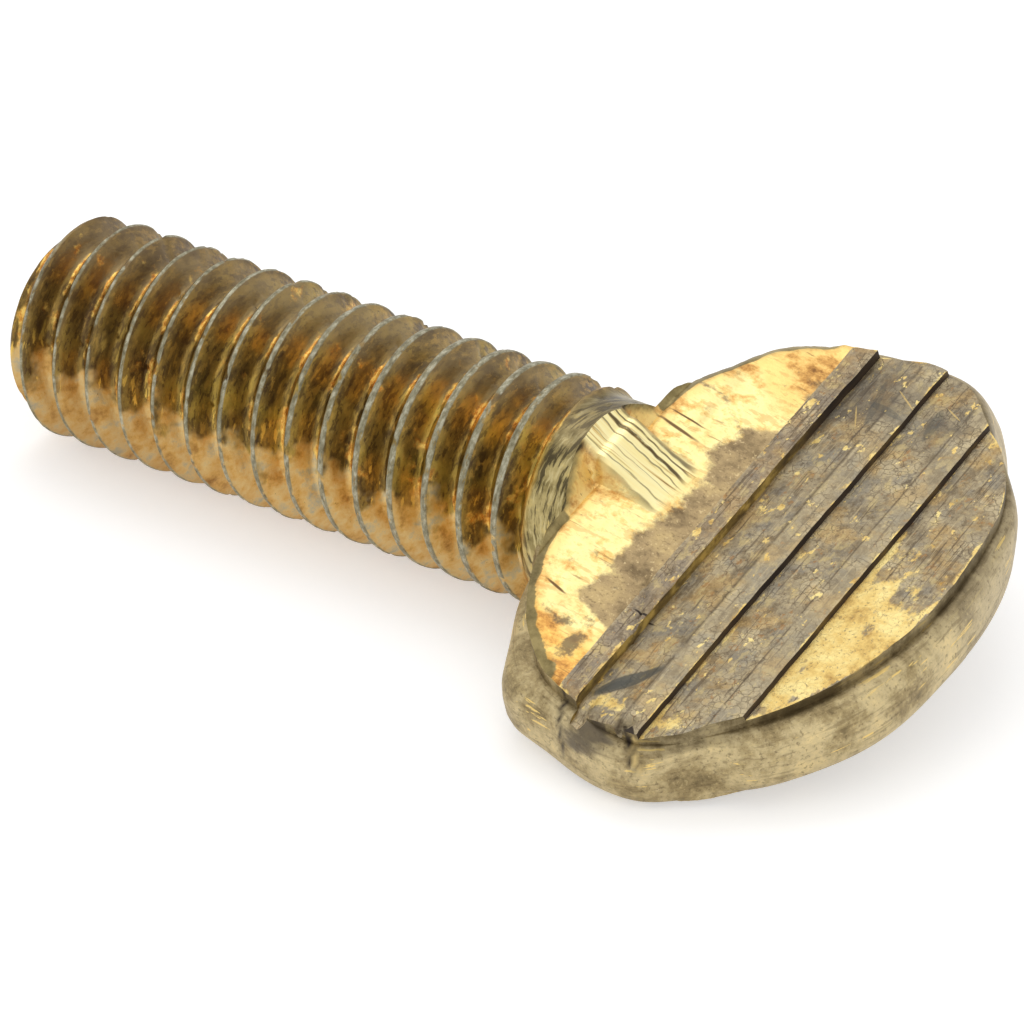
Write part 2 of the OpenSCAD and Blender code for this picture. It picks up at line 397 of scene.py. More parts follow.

# %% [markdown]
# ### Cheeks and boss
# The two sloping cheeks are rubbed nearly to bare metal, and a painted reflection makes their pale gold brighter
# than the ribs. It is mottled with orange and brown where the tarnish has stayed, dull next to the first rib, and
# crossed by a few long scratches.

# %% Cheek finish
# middle, direction in degrees, length and width of each long scratch
CHEEK_SCRATCHES = [((24.74, -5.7), -15, 1.25, 0.16), ((24.2, 2.45), -9, 2.6, 0.2), ((24.3, 3.0), -4, 2.0, 0.12)]
cheek_brass, tree, where = start_finish("cheek_brass")
mottle = speckle(where, 1.1, 6.0, (0.8, 1, 1), 0.7)
fine = speckle(where, 0.14, 4.0)
scratches = speckle(where, 0.45, 4.0, (0.22, 2.6, 1))
# bare metal, made brighter than the ribs by a painted reflection
bare_and_reflection = scale_of(mottle, (0.28, 140, 92, 42), (0.36, 204, 152, 80), (0.43, 234, 200, 124),
                (0.50, 242, 224, 156), (0.60, 238, 214, 142), (0.70, 208, 168, 98))
gilt_colour = scale_of(mottle, (0.32, 112, 76, 38), (0.42, 196, 140, 68), (0.5, 232, 184, 96),
                       (0.62, 238, 206, 124))
bare_and_reflection = tint(painted(tree, "gilt"), bare_and_reflection, gilt_colour)
bare_and_reflection = wash(bare_and_reflection, scratches, (0.62, 0.7, 0.6, (126, 90, 50)))
veins = speckle(where, 0.5, 6.0, (0.5, 1.5, 1), 0.65)
bare_and_reflection = wash(bare_and_reflection, veins, (0.55, 0.61, 0.4, (196, 144, 76)))
dull = scale_of(mottle, (0.32, 104, 86, 58), (0.5, 154, 132, 94), (0.68, 180, 156, 108))
dull = wash(dull, fine, (0.56, 0.68, 0.6, (96, 78, 54)), (0.42, 0.3, 0.5, (222, 198, 148)))
broken = speckle(where, 0.55, 7.0, roughness=0.7)
colour = tint(ragged(painted(tree, "tarnish"), broken, 1.5, 0.22), bare_and_reflection, dull)
smudge = ragged(painted(tree, "cheek_smudge"), broken, 3.0, 0.3)
colour = lay(colour, smudge, 0.85, (100, 86, 64))
for at, turn, length, width in CHEEK_SCRATCHES:
    colour = lay(colour, dash(where, at, turn, length, width), 0.95, (92, 62, 32))
edge_colour = scale_of(mottle, (0.35, 112, 98, 58), (0.6, 166, 148, 98))
colour = tint(ragged(painted(tree, "skin"), broken, 0.5), colour, edge_colour)
print("cheeks:", len(tree.nodes), "nodes")

# %% [markdown]
# The boss is the brightest part, and dark lines run down it that come from the bar. Its shoulder, beside it, is
# as dull as the neck.

# %% Boss and shoulder
# how far each dark line lies from the middle of the boss, its half width and its strength
BOSS_LINES = [(-1.15, 0.12, 0.7), (-0.75, 0.04, 0.6), (-0.3, 0.03, 0.45), (0.2, 0.04, 0.7), (0.5, 0.09, 0.95),
              (0.78, 0.05, 0.85), (1.05, 0.14, 0.8)]
# what the noise that bends the lines adds on average
LINE_SHIFT = 0.25
boss_lines = speckle(where, 0.16, 3.0, (0.04, 1, 0.04), 0.5)
boss_colour = scale_of(boss_lines, (0.30, 140, 108, 62), (0.36, 230, 202, 132),
                       (0.44, 254, 242, 184), (0.64, 252, 234, 164), (0.72, 176, 144, 88))
across_boss = maths("MULTIPLY_ADD", speckle(where, 1.6, 2.0), 0.5, painted(tree, "boss_off"))
for at, width, strength in BOSS_LINES:
    off = maths("ABSOLUTE", maths("SUBTRACT", across_boss, at + LINE_SHIFT))
    uneven = ease(mottle, 0.34, 0.5, 0.5 * strength, strength)
    line = maths("MULTIPLY", ease(off, width, width * 0.4), uneven)
    boss_colour = tint(line, boss_colour, (80, 62, 36))
colour = tint(painted(tree, "boss"), colour, boss_colour)
strokes = speckle(where, 0.34, 4.0, (2.4, 0.35, 0.35))
shoulder_colour = scale_of(strokes, (0.36, 66, 56, 36), (0.46, 132, 118, 76), (0.6, 164, 148, 98))
colour = tint(painted(tree, "shoulder"), colour, shoulder_colour)
relief = maths("ADD", maths("MULTIPLY", fine, 0.5), mottle)
end_finish(tree, colour, 0.38, 0.7, relief, 0.4, 0.05)
print("cheek and boss finish:", len(tree.nodes), "nodes")

# %% [markdown]
# ### Ribs
# The lands and the bands between them keep their brown skin. It has crazed into small plates, which a Voronoi
# texture's cell edges draw, and long scratches run along the ribs.

# %% Rib finish
rib_brass, tree, where = start_finish("rib_brass")
mottle = speckle(where, 1.3, 7.0, roughness=0.7)
tone = speckle(where, 1.5, 5.0)
fine = speckle(where, 0.13, 4.0, roughness=0.7)
bent = add(tree, "ShaderNodeTexNoise", {"Vector": where, "Scale": 2.5, "Detail": 3.0}).outputs["Color"]
bent = add(tree, "ShaderNodeVectorMath", {0: bent, 1: (0.35, 0.35, 0.35)}, operation="MULTIPLY").outputs[0]
bent = add(tree, "ShaderNodeVectorMath", {0: where, 1: bent}, operation="ADD").outputs[0]
crazing = add(tree, "ShaderNodeTexVoronoi", {"Vector": bent, "Scale": 3.4, "Randomness": 0.85},
              feature="DISTANCE_TO_EDGE").outputs["Distance"]
cracks = maths("MULTIPLY", ease(crazing, 0.07, 0.0), ease(mottle, 0.45, 0.6, 0.1, 0.55))
scratches = speckle(where, 0.22, 3.0, (2.0, 0.07, 1))
colour = scale_of(mottle, (0.30, 110, 94, 70), (0.43, 152, 137, 108), (0.54, 176, 160, 128),
                  (0.70, 204, 187, 148))
colour = wash(colour, tone, (0.5, 0.62, 0.55, (190, 154, 90)), (0.48, 0.38, 0.5, (126, 124, 118)))
colour = lay(colour, painted(tree, "first_land"), 0.3, (142, 118, 96))
colour = wash(colour, fine, (0.54, 0.68, 0.6, (98, 80, 56)), (0.44, 0.32, 0.5, (206, 188, 146)))
grime = speckle(where, 0.5, 6.0, (1, 0.6, 1), 0.68)
colour = wash(colour, grime, (0.53, 0.62, 0.5, (100, 82, 56)), (0.46, 0.38, 0.55, (206, 184, 128)))
rust = speckle(where, 0.32, 5.0, (1, 0.7, 1), 0.65)
colour = wash(colour, rust, (0.6, 0.66, 0.6, (168, 122, 66)))
colour = wash(colour, scratches, (0.58, 0.66, 0.65, (92, 76, 56)), (0.4, 0.34, 0.4, (212, 192, 150)))
colour = lay(colour, painted(tree, "land"), 0.3, (184, 170, 138))
colour = tint(cracks, colour, (78, 62, 44))
land_line = maths("MULTIPLY", painted(tree, "land_line"), ease(speckle(where, 0.8, 4.0), 0.38, 0.5, 0.2, 0.75))
colour = tint(land_line, colour, (80, 66, 48))
print("brown skin:", len(tree.nodes), "nodes")

# %% [markdown]
# Stains and single marks lie over the skin, and where it is rubbed off, flecks and patches of gold show. Each
# mark is a spindle of its own, so it can be moved or left out.

# %% Stains, bare patches and marks
# The darkest colour is for cracks, and for painted shade in the hole of the torn corner.
SMEAR, SCRATCH, DARK_CRACK_AND_SHADE = (78, 78, 72), (214, 184, 116), (50, 40, 30)
# middle, direction in degrees, length, width, strength and colour of each mark on the top face
RIB_MARKS = [((28.85, -7.9), 49, 3.3, 0.8, 0.85, SMEAR), ((28.6, -8.2), 49, 1.6, 0.4, 0.6, SMEAR),
             # painted shade in the hole of the torn corner
             ((30.2, -9.9), -42, 1.3, 0.5, 1.0, DARK_CRACK_AND_SHADE),
             ((29.7, 6.7), -16, 2.2, 0.4, 0.45, SMEAR), ((29.2, 6.9), -76, 3.2, 0.4, 0.4, SMEAR),
             ((31.5, 6.8), -81, 2.2, 0.5, 0.45, SMEAR), ((28.9, 6.1), -60, 1.6, 0.08, 0.7, SCRATCH),
             ((30.1, 7.4), -35, 1.5, 0.08, 0.7, SCRATCH), ((31.9, 7.5), -30, 1.1, 0.08, 0.7, SCRATCH)]
broken = speckle(where, 0.7, 7.0, (1, 0.6, 1), 0.7)
stained = ragged(painted(tree, "stain"), broken, 1.6, 0.35)
colour = lay(colour, stained, 0.62, (84, 76, 68))
flecks = ease(speckle(where, 0.5, 5.0, (1.2, 0.7, 1)), 0.62, 0.65, 0.0, 0.95)
patches = maths("MULTIPLY", ragged(painted(tree, "worn"), broken, 2.6, 0.15), ease(fine, 0.66, 0.56, 0.4, 1.0))
worn_colour = scale_of(mottle, (0.34, 176, 136, 70), (0.46, 232, 200, 120), (0.6, 250, 228, 154))
worn_colour = wash(worn_colour, fine, (0.52, 0.68, 0.4, (170, 136, 78)))
colour = tint(maths("MAXIMUM", flecks, patches), colour, worn_colour)
for at, turn, length, width, strength, mark_colour in RIB_MARKS:
    mark = ragged(dash(where, at, turn, length, width), broken, 0.5, 0.3)
    colour = lay(colour, mark, strength, mark_colour)
colour = tint(dash(where, (27.75, -5.15), -8, 1.2, 0.13), colour, DARK_CRACK_AND_SHADE)
end_finish(tree, colour, 0.5, 0.6, maths("SUBTRACT", fine, cracks), 0.5, 0.04)
print("rib finish:", len(tree.nodes), "nodes")

# %% [markdown]
# ### Steep sides of the ribs
# The steep sides are dark brown. Only the first is gold brown along most of its length.

# %% Riser finish
riser_brass, tree, where = start_finish("riser_brass")
mottle = speckle(where, 0.7, 4.0, (1, 0.3, 1))
colour = scale_of(mottle, (0.35, 40, 30, 24), (0.55, 62, 48, 34), (0.72, 112, 90, 46))
gold_brown = scale_of(speckle(where, 0.4, 5.0, (1, 0.4, 1)), (0.36, 80, 64, 36),
                      (0.5, 128, 106, 54), (0.62, 186, 158, 84))
colour = tint(painted(tree, "olive"), colour, gold_brown)
end_finish(tree, colour, 0.6, 0.4, mottle, 0.3, 0.03)
print("riser finish:", len(tree.nodes), "nodes")

# %% [markdown]
# ### Rim
# The rim was squeezed out between the forging dies. It is dull khaki, with fine streaks that run round it and
# groups of bright scratches. The crease between rim and face is painted dark, a painted shadow under the
# face's edge.

# %% Rim finish
rim_brass, tree, where = start_finish("rim_brass")
flow = add(tree, "ShaderNodeAttribute", attribute_name="flow").outputs["Vector"]
mottle = speckle(where, 1.8, 7.0, roughness=0.7)
fine = speckle(where, 0.16, 4.0, roughness=0.7)
lines = speckle(flow, 0.16, 3.0, (0.07, 1, 1))
colour = scale_of(mottle, (0.32, 114, 98, 66), (0.44, 170, 150, 106), (0.54, 208, 189, 143),
                  (0.68, 236, 212, 154))
# painted light: the right side of the rim is paler, making up for the shade that the lamps leave there
colour = lay(colour, painted(tree, "right_side_light"), 0.55, (196, 180, 146))
colour = wash(colour, lines, (0.54, 0.66, 0.4, (112, 94, 60)), (0.42, 0.3, 0.4, (214, 192, 136)))
colour = wash(colour, fine, (0.54, 0.68, 0.6, (104, 88, 58)), (0.44, 0.32, 0.45, (222, 200, 146)))
grouped = ease(speckle(flow, 3.0, 2.0), 0.44, 0.58, 0.5, 1.0)
bright_lines = maths("MULTIPLY", speckle(flow, 0.24, 5.0, (0.07, 1.6, 1)), grouped)
colour = wash(colour, bright_lines, (0.59, 0.61, 0.9, (246, 214, 132)))
# painted shadow in the crease under the face's edge
painted_gutter_shade = maths("MULTIPLY", painted(tree, "gutter_shadow"), ease(mottle, 0.36, 0.6, 1.0, 0.6))
colour = tint(painted_gutter_shade, colour, (84, 70, 42))
smeared = ragged(painted(tree, "rim_smudge"), speckle(flow, 0.4, 5.0, (0.3, 1, 1)), 1.4, 0.3)
colour = lay(colour, smeared, 0.85, (82, 72, 60))
# painted shade in the hole of the torn corner, on the rim
colour = tint(dash(where, (30.35, -10.0), -42, 1.2, 0.4), colour, DARK_CRACK_AND_SHADE)
# the crack, and a painted shadow beside the bright sliver
colour = tint(painted(tree, "rim_crack_and_shadow"), colour, DARK_CRACK_AND_SHADE)
colour = tint(painted(tree, "sliver"), colour, (214, 188, 126))
end_finish(tree, colour, 0.48, 0.6, maths("ADD", lines, fine), 0.4, 0.05)
print("rim finish:", len(tree.nodes), "nodes")

# %% [markdown]
# ## Wind the thread
# The tree's inputs are set by each socket's identifier before anything is evaluated, and the result becomes a
# plain mesh. Its seam is already welded.

# %% Wind the thread
def set_inputs(modifier, values):
    """Sets a Geometry Nodes modifier's inputs from values by name."""
    for item in modifier.node_group.interface.items_tree:
        if item.item_type == "SOCKET" and item.in_out == "INPUT":
            modifier[item.identifier] = values[item.name]


def link(name, data):
    """A new object for a mesh, a lamp or a camera."""
    made = bpy.data.objects.new(name, data)
    bpy.context.scene.collection.objects.link(made)
    return made


ROWS_PER_TURN, COLUMNS = 14, 120
turns = math.ceil(BAR_END / PITCH + TIP_TURNS) + 1
bar = link("threaded_bar", bpy.data.meshes.new("threaded_bar"))
winding = bar.modifiers.new("thread", "NODES")
winding.node_group = thread_tree
set_inputs(winding, {**thread_sizes, "Turns": turns, "Rows per turn": ROWS_PER_TURN, "Columns": COLUMNS,
                     "Material": thread_brass})
bpy.context.view_layer.update()
wound_mesh = bpy.data.meshes.new_from_object(bar.evaluated_get(bpy.context.evaluated_depsgraph_get()))
bar.modifiers.clear()
bar.data = wound_mesh
print("threaded bar:", len(wound_mesh.vertices), "points,", len(wound_mesh.polygons), "faces")


# %% [markdown]
# ## Random relief
# Forged and handled metal is never quite even. `grain` gives smooth random heights that are the same each time
# the script runs, because they come from a fixed rule and not from a random generator.

# %% Random relief
def smooth(t):
    """A step from 0 to 1 with soft ends."""
    t = np.clip(t, 0.0, 1.0)
    return t * t * (3 - 2 * t)


def grain(u, v, size, seed):
    """Heights from -1 to 1 that change over about size."""
    u, v = np.broadcast_arrays(np.asarray(u, float) / size, np.asarray(v, float) / size)
    iu, iv = np.floor(u), np.floor(v)

    def corner(a, b):
        """A number from -1 to 1 that looks random, for one corner of the lattice."""
        h = np.sin(a * 127.1 + b * 311.7 + seed * 74.7) * 43758.5453
        return 2 * (h - np.floor(h)) - 1

    s, t = smooth(u - iu), smooth(v - iv)
    near = corner(iu, iv) * (1 - s) + corner(iu + 1, iv) * s
    far = corner(iu, iv + 1) * (1 - s) + corner(iu + 1, iv + 1) * s
    return near * (1 - t) + far * t


def bell(distance, width, power=2):
    """1 at a distance of 0, and next to nothing beyond twice the width."""
    return np.exp(-((distance / width) ** power))


def hump(x, y, at, size):
    """A smooth bump of height 1 round a place, with a half-width for each axis."""
    return np.exp(-(((x - at[0]) / size[0]) ** 2) - ((y - at[1]) / size[1]) ** 2)


print("grain from", round(float(grain(0.3, 0.4, 1.0, 1)), 3))


# %% [markdown]
# ## Outline of the head
# Seen flat, the head is two overlapping discs, a block between them and a long arc along the free end. A
# rounded rim stands out all round the face. `inside` says how far inside the face's edge a point is. The
# outline at any distance beyond that edge is then found on rays from the middle of the head, by halving.

# %% Outline of the head
HEAD_MIDDLE = np.array([WING_X, 0.0])
# direction from the middle of the head in degrees, spread in degrees, and how far the metal stands out there
UPPER_FLAWS = [(91, 18, -0.63), (68, 8, -0.18), (40, 16, 0.25), (134, 9, -0.22), (255, 7, -0.15), (288, 9, -0.12)]
RIM_FLAWS = [(241, 8, 0.6), (283, 9, -0.68), (322, 18, 0.42), (59, 17, -0.58)]
corner_x = WING_X + WING_R * math.cos(WING_ARC_END)
corner_y = WING_Y + WING_R * math.sin(WING_ARC_END)
END_R = ((FACE_END - corner_x) ** 2 + corner_y**2) / (2 * (FACE_END - corner_x))


def smooth_low(a, b, blend):
    """The smaller of two distances, with their crossing rounded."""
    h = np.maximum(blend - np.abs(a - b), 0) / blend
    return np.minimum(a, b) - h * h * blend / 4


def flaw(direction, flaws):
    """How far out of true forging left the outline, by direction from the middle of the head."""
    degrees = np.degrees(direction)
    return sum(by * np.exp(-((((degrees - at + 180) % 360 - 180) / spread) ** 2)) for at, spread, by in flaws)


def inside(x, y, flaws=()):
    """How far inside the edge of the face a point lies, in millimetres; negative is outside."""
    disc = WING_R - np.hypot(x - WING_X, np.abs(y) - WING_Y)
    block = np.minimum(x - (WING_X - WING_R), WING_Y - np.abs(y))
    free_end = END_R - np.hypot(x - (FACE_END - END_R), y)
    return smooth_low(np.maximum(disc, block), free_end, 0.5) + flaw(np.arctan2(y, x - WING_X), flaws)


def outline(beyond, angles, neck=False):
    """Points of the outline, this far beyond the face's edge, on rays at the angles; neck adds hollow webs."""
    ray = np.stack([np.cos(angles), np.sin(angles)], -1)
    near, far = np.zeros(len(angles)), np.full(len(angles), 14.0)
    for _ in range(40):
        mid = (near + far) / 2
        x, y = (HEAD_MIDDLE + ray * mid[:, None]).T
        gap = inside(x, y) + beyond
        if neck:
            sleeve = NECK_R - 0.25 - np.abs(y)
            sleeve = sleeve - 4 * np.maximum(NECK_END - 0.4 - x, 0) - np.maximum(x - WING_X, 0)
            gap = -smooth_low(-gap, -sleeve, 1.4)
        near, far = np.where(gap > 0, mid, near), np.where(gap > 0, far, mid)
    return HEAD_MIDDLE + ray * near[:, None]


STEPS = 420
angles = np.arange(STEPS) * math.tau / STEPS
print(f"free end arc {END_R:.1f} mm, outline of {STEPS} points")


# %% [markdown]
# ## Face block and rim
# Both are swept round the outline: the face block is a plain wall, and the rim is a flat bar with a barrel edge.
# A stack of rings does it, with a cap on the first and last.

# %% Sweep the face block and the rim
def stack_rings(name, rings, finish):
    """A closed mesh from a stack of rings, each an array of points, capped at both ends."""
    count = len(rings[0])
    verts = np.concatenate(rings)
    faces = []
    for r in range(len(rings) - 1):
        a, b = r * count, (r + 1) * count
        faces += [(a + i, a + (i + 1) % count, b + (i + 1) % count, b + i) for i in range(count)]
    faces.append(tuple(range(count - 1, -1, -1)))
    faces.append(tuple(range((len(rings) - 1) * count, len(rings) * count)))
    mesh = bpy.data.meshes.new(name)
    mesh.from_pydata(verts.tolist(), [], faces)
    mesh.materials.append(finish)
    return link(name, mesh)


def ring(beyond, z, neck=False):
    """Points all round the outline, at one height."""
    points = outline(beyond, angles, neck)
    return np.column_stack([points, np.full(STEPS, z)])


def upper(z):
    """How much a level belongs to the upper die, whose half of the head came out smaller at the far wing."""
    return smooth((z + 1.1) / 2.0)


wall_levels = [-6.0, -2.6, -2.2, -1.9, -1.7, -1.5, -1.3, 1.3, 1.5, 1.7, 1.9, 2.2, 2.6, 6.0]
# the wall is most uneven on the side of the near wing
unevenness = 0.03 + 0.05 * smooth((-math.sin(math.radians(60)) - np.sin(angles)) / 0.1)
upper_flaw = flaw(angles, UPPER_FLAWS)
dents = [unevenness * grain(angles * 12, z * 2, 1.0, 3) + upper(z) * upper_flaw for z in wall_levels]
face_block = stack_rings("face_block", [ring(d, z) for d, z in zip(dents, wall_levels)], rim_brass)

swell = 1.0 + 0.05 * grain(angles * 3, 0, 1.0, 5)
RIM_TOP = RIM_HALF - 0.28
LOWER_HALF = RIM_HALF - 0.04
quarter = np.radians([86, 78, 70, 60, 45, 30, 15, 0])
profile = [(-0.1, RIM_TOP)] + [(RIM_BULGE * math.cos(a) ** 0.8, RIM_TOP * math.sin(a) ** 0.8) for a in quarter]
profile += [(RIM_BULGE * math.cos(a) ** 0.6, -LOWER_HALF * math.sin(a) ** 0.6) for a in quarter[-2::-1]]
profile += [(-0.1, -LOWER_HALF)]
end_share = smooth((np.cos(angles) - 0.55) / 0.3)
bulge = (1 - 0.16 * end_share) * np.minimum(swell, 1.0)
reach = bulge + flaw(angles, RIM_FLAWS) / RIM_BULGE
rim_rings = [ring(out * reach + upper(z) * upper_flaw, z, True) for out, z in reversed(profile)]
rim = stack_rings("rim", rim_rings, rim_brass)
print("face block:", len(face_block.data.polygons), "faces, rim:", len(rim.data.polygons), "faces")

# %% [markdown]
# ## The ribbed face
# Every height on the flat sides is a function of the place on the face: cheeks that rise to the neck, the boss,
# the lands, the steep sides and the ramps between them. That suits a height field, a grid of points whose
# rows run along the ribs, so that each edge of a rib is one clean row. Two of them back to back make a slab,
# and what bar, face block and rim have in common with the slab is the screw.

# %% Height of the faces
# how far along the screw a steep side runs, and how high each one is on this worn head
STEEP = 0.05
RIB_DEPTHS = [0.33, 0.21, 0.20]
rib_line = [(NECK_END - 2, HALF + (CHEEK_FOOT - NECK_END + 2) * math.tan(CHEEK_RISE)), (CHEEK_FOOT, HALF)]
for edge, drop in zip(RIB_EDGES, RIB_DEPTHS):
    rib_line += [(edge - RIB_LAND, HALF), (edge, HALF), (edge + STEEP, HALF - drop)]
rib_line += [(FACE_END, HALF), (HEAD_END + 1, HALF + 0.2)]
rib_line = np.array(rib_line)
BOSS_HOLLOW = 10.6
boss_top = np.array([NECK_END + 0.15, NECK_R])
boss_foot = np.array([CHEEK_FOOT, HALF - RIB_DEPTH / 2])
chord = boss_foot - boss_top
chord_length = np.hypot(*chord)
lift = math.sqrt(BOSS_HOLLOW**2 - chord_length**2 / 4) / chord_length
boss_centre = (boss_top + boss_foot) / 2 + lift * np.array([-chord[1], chord[0]])


def boss_sides(x):
    """Middle and half width of the boss at x: it narrows and swings over as it runs down."""
    run = np.clip((x - NECK_END) / (CHEEK_FOOT - NECK_END), 0, 1)
    return 0.35 - 0.45 * run, 1.0 + 0.3 * run


def face_height(x, y, side):
    """Height of a face over the middle plane; side is 1 for the top and -1 for the underside."""
    flat_part = np.interp(x, rib_line[:, 0], rib_line[:, 1])
    flat_part = flat_part + 0.012 * grain(x, y, 0.5, 11 * side) + 0.02 * grain(x, y, 2.0, 13 * side)
    boss_line = boss_centre[1] - np.sqrt(np.maximum(BOSS_HOLLOW**2 - (x - boss_centre[0]) ** 2, 0.01))
    middle, half_width = boss_sides(x)
    off = np.abs(y - middle * side)
    boss_line = np.where(x < CHEEK_FOOT + 0.1, boss_line, 0) - 2.2 * np.maximum(off - half_width, 0)
    boss_line = boss_line - 0.022 * np.abs(grain(y - middle + 0.02 * x, x * 0.12, 0.3, 17 * side))
    shoulder = NECK_R + (NECK_END - x) * math.tan(SHOULDER)
    shoulder = shoulder + 0.05 * grain(x, y, 0.8, 19 * side)
    height = -smooth_low(-flat_part, -np.maximum(boss_line, shoulder), 0.12)
    return np.where(x < NECK_END - 0.45, 5.0, np.minimum(height, 5.0))


print("cheek at the neck:", round(float(face_height(np.array(23.5), np.array(-2.5), 1)), 2), "mm")


# %% [markdown]
# ### Wear and damage
# The top face has its own marks. A crack crosses the near end of the first land, the corner beside the second
# rib is torn open, and the edge of the face is worn round. Each is a small term of its own in the height
# field, so it can be moved or left out.

# %% Wear and damage
def worn_edge(x, y, side):
    """How much the edge of the face is rounded off, more at the corner of the near wing."""
    cheek = smooth((CHEEK_FOOT - 0.2 - x) / 0.6)
    corner = hump(x, y, (27.9, -10.0), (0.9, 0.8)) * (side > 0)
    width = (0.07 if side > 0 else 0.22) + 0.4 * cheek + 0.4 * corner
    near_edge = np.clip(1 - inside(x, y, UPPER_FLAWS if side > 0 else ()) / width, 0, 1)
    return (0.5 + 0.2 * corner) * width * near_edge**2


# depth, middle and half widths along and across the screw of each shallow dent in the top face
DENTS = [(0.10, (29.1, -7.3), (0.4, 1.2)), (0.05, (25.6, -6.3), (0.6, 0.35)), (0.06, (25.0, 5.6), (0.4, 1.3)),
         (0.04, (25.3, -8.0), (0.25, 0.5)), (0.05, (24.9, 3.4), (0.2, 0.9))]


def marks(x, y):
    """Damage to the top face, in millimetres down."""
    crack = bell(x - 27.63 + 0.4 * (y + 5.3) + 0.05 * np.sin(9 * y), 0.05)
    crack = crack * smooth((x - 27.0) / 0.1) * smooth((28.0 - x) / 0.1)
    torn_corner = bell(x - 29.95 - 0.4 * (y + 9.7), 0.2, 4) * smooth((-9.3 - y) / 0.25)
    groove = bell(x - 28.3, 0.14) * smooth((-8.9 - y) / 0.3)
    down = 0.12 * crack + 0.45 * torn_corner + 0.12 * groove
    return down + sum(depth * hump(x, y, at, half_widths) for depth, at, half_widths in DENTS)


print("damage at the torn corner:", round(float(marks(29.95, -9.7)), 2), "mm")

# %% [markdown]
# ### The slab
# Rows are evenly spaced, apart from those that the edges of the ribs and the starts of the lands need. Where
# one of these comes close to an even row, the even row makes way.

# %% Rows and columns of the slab
PAST_EDGE, ROW_GAP = 0.35, 0.11
half_spread = WING_SPAN + RIM_BULGE + PAST_EDGE
across = np.linspace(-half_spread, half_spread, 142)
rows = np.concatenate([[-1.0, NECK_END - 0.6, NECK_END - 0.46, NECK_END - 0.44],
                       np.arange(NECK_END - PAST_EDGE, HEAD_END + PAST_EDGE, ROW_GAP)])
for edge in RIB_EDGES:
    rows = rows[(rows < edge - 0.06) | (rows > edge + STEEP + 0.05)]
    rows = np.sort(np.concatenate([rows, [edge - 0.03, edge, edge + STEEP]]))
land_starts = np.array([edge - RIB_LAND for edge in RIB_EDGES])
rows = rows[np.abs(rows[:, None] - land_starts).min(1) > 0.05]
rows = np.sort(np.concatenate([rows, land_starts]))


def slab_side(side):
    """Points of one side of the slab, row by row, and the unbent x that each row stands for."""
    base, y = np.meshgrid(rows, across, indexing="ij")
    z = face_height(base, y, side) - worn_edge(base, y, side)
    if side > 0:
        z = z - marks(base, y)
    x = base.copy()
    for k, edge in enumerate(RIB_EDGES):
        wobble = 0.016 * grain(y, 0, 1.3, 23 + k * side) + 0.008 * grain(y, 0, 0.3, 29 + k * side)
        x += wobble * bell(base - edge, 0.5)
    return np.stack([x, y, side * z], -1)


top, under_side = slab_side(1), slab_side(-1)
row_count, column_count = len(rows), len(across)
below = row_count * column_count
verts = np.concatenate([top.reshape(-1, 3), under_side.reshape(-1, 3)])
index = np.arange(below).reshape(row_count, column_count)
print("slab:", row_count, "rows of", column_count, "points")


# %% [markdown]
# Each strip between two rows takes the finish of its part of the face. The steep sides get their own. `below`
# is what leads from a point of the top to the same point of the underside.

# %% Faces of the slab
def zone_of(x0, x1):
    """Which finish a strip between two rows takes: 0 cheek, 1 rib, 2 steep side."""
    if x1 <= CHEEK_FOOT + 1e-6:
        return 0
    return 2 if any(abs(x0 - edge) < 1e-6 for edge in RIB_EDGES) else 1


faces, zones = [], []
for i in range(row_count - 1):
    zone = zone_of(rows[i], rows[i + 1])
    for j in range(column_count - 1):
        a, b, c, d = index[i, j], index[i + 1, j], index[i + 1, j + 1], index[i, j + 1]
        faces += [(a, b, c, d), (a + below, d + below, c + below, b + below)]
        zones += [zone, zone]
border = list(index[0, :-1]) + list(index[:-1, -1]) + list(index[-1, :0:-1]) + list(index[:0:-1, 0])
for p, q in zip(border, border[1:] + border[:1]):
    faces.append((p, q, q + below, p + below))
    zones.append(1)
slab_mesh = bpy.data.meshes.new("slab")
slab_mesh.from_pydata(verts.tolist(), [], [tuple(int(v) for v in f) for f in faces])
for finish in (cheek_brass, rib_brass, riser_brass):
    slab_mesh.materials.append(finish)
slab_mesh.polygons.foreach_set("material_index", zones)
slab = link("slab", slab_mesh)
print("slab:", len(faces), "faces")


# %% [markdown]
# ## One screw from four shapes
# The Boolean modifier joins bar, rim and face block, and keeps what lies inside the slab. Its Manifold solver is
# quick and leaves closed meshes closed. Each operand's finish comes along with its faces.

# %% Join and trim
def point_outwards(made):
    """Turns every face of an object's mesh outwards."""
    work = bmesh.new()
    work.from_mesh(made.data)
    bmesh.ops.recalc_face_normals(work, faces=work.faces)
    work.to_mesh(made.data)
    work.free()


def combine(target, operation, other):
    """Joins another object to the target, or trims the target with it."""
    cut = target.modifiers.new(operation.lower(), "BOOLEAN")
    cut.operation, cut.object, cut.solver = operation, other, "MANIFOLD"
    cut.material_mode = "TRANSFER"
    bpy.context.view_layer.update()
    joined = bpy.data.meshes.new_from_object(target.evaluated_get(bpy.context.evaluated_depsgraph_get()))
    target.modifiers.clear()
    target.data = joined
    bpy.data.objects.remove(other)
    print(operation.lower(), "gives", len(joined.polygons), "faces")


for made in (bar, face_block, rim, slab):
    point_outwards(made)
combine(bar, "UNION", face_block)
combine(bar, "UNION", rim)
combine(bar, "INTERSECT", slab)
screw = bar
screw.name = screw.data.name = "forged_screw"
